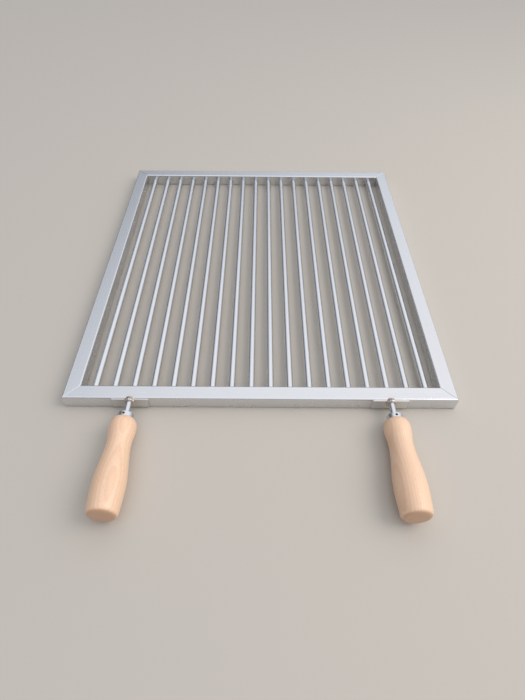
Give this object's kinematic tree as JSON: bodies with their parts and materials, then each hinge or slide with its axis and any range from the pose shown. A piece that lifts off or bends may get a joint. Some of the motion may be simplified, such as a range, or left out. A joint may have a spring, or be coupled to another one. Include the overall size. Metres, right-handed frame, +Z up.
{
  "type": "grill grate",
  "caption": "Rectangular grill grate: mitred square-tube steel frame, parallel round bars, and two turned wooden grips on rods at the front.",
  "frame": {"origin": "middle of the whole object's footprint, on the plane that the frame rests on", "axes": "+X across the bars towards the right handle, +Y along the bars away from the handles, +Z up"},
  "size_m": [0.5, 0.7108, 0.0401],
  "materials": {
    "frame_steel": "satin stainless, brushed along each tube and plate",
    "bar_steel": "bright drawn round bar, finely brushed lengthwise",
    "weld_steel": "rippled weld bead, brushed clean with a faint heat tint",
    "rod_steel": "turned and polished stainless",
    "screw_steel": "blackened steel",
    "beech": "turned beech under a satin clear lacquer"
  },
  "bodies": {
    "frame": {"front_tube": "frame_steel", "back_tube": "frame_steel", "left_tube": "frame_steel", "right_tube": "frame_steel", "bar_01": "bar_steel", "bar_02": "bar_steel", "bar_03": "bar_steel", "bar_04": "bar_steel", "bar_05": "bar_steel", "bar_06": "bar_steel", "bar_07": "bar_steel", "bar_08": "bar_steel", "bar_09": "bar_steel", "bar_10": "bar_steel", "bar_11": "bar_steel", "bar_12": "bar_steel", "bar_13": "bar_steel", "bar_14": "bar_steel", "bar_15": "bar_steel", "bar_16": "bar_steel", "bar_17": "bar_steel", "bar_18": "bar_steel", "left_plate": "frame_steel", "right_plate": "frame_steel", "left_plate_welds": "weld_steel", "right_plate_welds": "weld_steel", "left_rod": "rod_steel", "right_rod": "rod_steel", "left_rod_weld": "weld_steel", "right_rod_weld": "weld_steel"},
    "left_handle": {"left_collar": "rod_steel", "left_grip": "beech"},
    "left_screw": {"left_set_screw": "screw_steel"},
    "right_handle": {"right_collar": "rod_steel", "right_grip": "beech"},
    "right_screw": {"right_set_screw": "screw_steel"}
  },
  "joints": [
    {"name": "left_handle_slide", "type": "slide", "parent": "frame", "child": "left_handle", "axis": [0, -0.9991, 0.0419], "range_m": [0, 0.085]},
    {"name": "left_screw_travel", "type": "slide", "parent": "left_handle", "child": "left_screw", "axis": [0, 0.0419, 0.9991], "range_m": [0, 0.002]},
    {"name": "right_handle_slide", "type": "slide", "parent": "frame", "child": "right_handle", "axis": [0, -0.9991, 0.0419], "range_m": [0, 0.085]},
    {"name": "right_screw_travel", "type": "slide", "parent": "right_handle", "child": "right_screw", "axis": [0, 0.0419, 0.9991], "range_m": [0, 0.002]}
  ]
}
